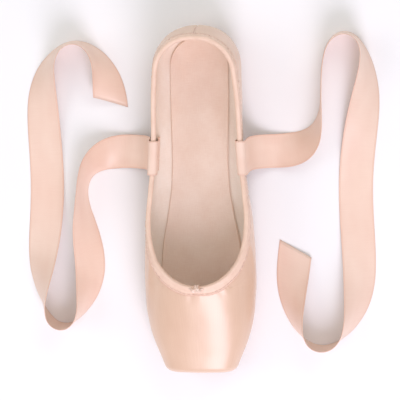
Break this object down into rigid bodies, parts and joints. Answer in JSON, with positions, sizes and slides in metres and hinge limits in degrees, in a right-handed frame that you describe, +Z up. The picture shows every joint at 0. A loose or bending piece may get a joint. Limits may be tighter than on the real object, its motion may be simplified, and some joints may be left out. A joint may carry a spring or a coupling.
{
  "type": "pointe shoe",
  "caption": "Satin pointe shoe with a blocked toe box, flat platform, pleated toe, bound drawstring collar, thin leather outsole, insole and ankle ribbons lying beside it",
  "frame": {"origin": "on the floor under the middle of the shoe's bounding box", "axes": "+X to the toe, +Z up from the floor, +Y to the shoe's left side as worn with the toe forward"},
  "size_m": [0.226, 0.2311, 0.0555],
  "materials": {
    "satin": "peach satin, glossy along the weave",
    "sole_leather": "matt buffed leather",
    "insole_cloth": "matt cotton",
    "binding_cloth": "soft cotton and satin casing",
    "drawstring_cord": "matt braided cord",
    "ribbon_satin": "thin satin ribbon, soft gloss"
  },
  "bodies": {
    "root": {"upper": "satin", "outsole": "sole_leather", "insole": "insole_cloth", "binding": "binding_cloth", "drawstring_knot": "drawstring_cord", "ribbon_left": "ribbon_satin", "ribbon_right": "ribbon_satin"}
  },
  "joints": []
}
